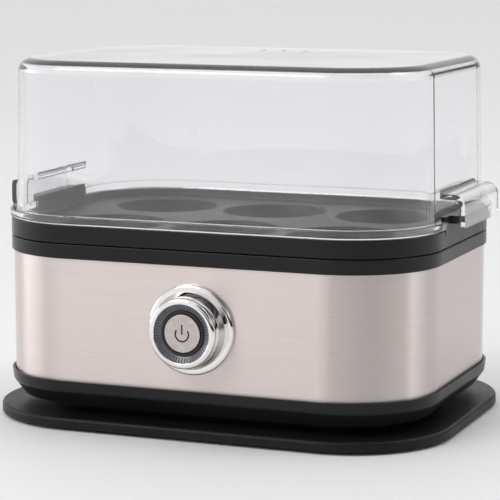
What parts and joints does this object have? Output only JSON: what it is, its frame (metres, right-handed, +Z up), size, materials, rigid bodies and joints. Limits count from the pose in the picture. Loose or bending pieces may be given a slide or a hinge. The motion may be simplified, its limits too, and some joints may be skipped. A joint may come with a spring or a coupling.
{
  "type": "egg boiler",
  "caption": "Tabletop electric egg steamer with a brushed steel body, black trim bands, a chrome push-button knob and a clear lift-off lid over a cup tray.",
  "frame": {"origin": "bottom centre of the whole appliance's bounding box, on the surface that its four feet stand on", "axes": "+Z up, +X to the right when facing the knob, -Y towards the user on the knob's side"},
  "size_m": [0.186, 0.1404, 0.1378],
  "materials": {
    "black_plastic": "satin moulded, near black",
    "brushed_steel": "brushed level with the base, warm grey",
    "chrome": "polished",
    "button_metal": "satin silver paint",
    "smoke_plastic": "dark grey, glossy",
    "clear_plastic": "clear, smooth",
    "cast_aluminium": "cast, bare",
    "rubber": "matte",
    "inner_plastic": "matte black",
    "pale_plastic": "matte off-white",
    "board": "green laminate",
    "screw_steel": "zinc plated",
    "brass": "stamped",
    "wire_sleeve": "heat-proof sleeve"
  },
  "bodies": {
    "housing": {"rubber_feet": "rubber", "base_plate": "black_plastic", "base_screws": "screw_steel", "bottom_bowl": "black_plastic", "cable_grommet": "rubber", "cord_clamp": "inner_plastic", "clamp_screws": "screw_steel", "terminal_block": "pale_plastic", "terminal_screws": "brass", "tie_screws": "screw_steel", "steel_wrap": "brushed_steel", "upper_frame": "black_plastic", "pan_seal": "rubber", "heating_pan": "cast_aluminium", "heater_tube": "cast_aluminium", "heater_bushes": "pale_plastic", "heater_pins": "screw_steel", "thermostat": "inner_plastic", "thermostat_tags": "brass", "thermostat_bracket": "screw_steel", "bracket_screws": "screw_steel", "thermal_fuse": "pale_plastic", "live_wire": "wire_sleeve", "switch_wire": "wire_sleeve", "neutral_wire": "wire_sleeve", "thermostat_wire": "wire_sleeve", "heater_link_wire": "wire_sleeve", "bezel_flange": "chrome", "bezel_sleeve": "chrome", "bezel_nut": "inner_plastic", "dial_ring": "smoke_plastic", "light_ring": "inner_plastic", "lamp_board": "board", "lamps": "pale_plastic", "lamp_wires": "wire_sleeve", "button_guide": "inner_plastic", "return_spring": "screw_steel", "switch_bracket": "inner_plastic", "switch_body": "inner_plastic", "switch_tags": "brass", "switch_screws": "screw_steel"},
    "tray": {"egg_tray": "black_plastic", "tray_deck": "black_plastic", "egg_cups": "black_plastic"},
    "cover": {"lid": "clear_plastic"},
    "button": {"button_cap": "button_metal", "power_symbol": "inner_plastic", "button_stem": "inner_plastic", "button_clip": "screw_steel", "switch_plunger": "pale_plastic"}
  },
  "joints": [
    {"name": "tray_lift", "type": "slide", "parent": "housing", "child": "tray", "axis": [0, 0, 1], "range_m": [0, 0.12]},
    {"name": "lid_lift", "type": "slide", "parent": "tray", "child": "cover", "axis": [0, 0, 1], "range_m": [0, 0.15]},
    {"name": "button_press", "type": "slide", "parent": "housing", "child": "button", "axis": [0, 1, 0], "range_m": [0, 0.0015], "stiffness_N_per_m": 300, "deforming": ["return_spring"]}
  ]
}
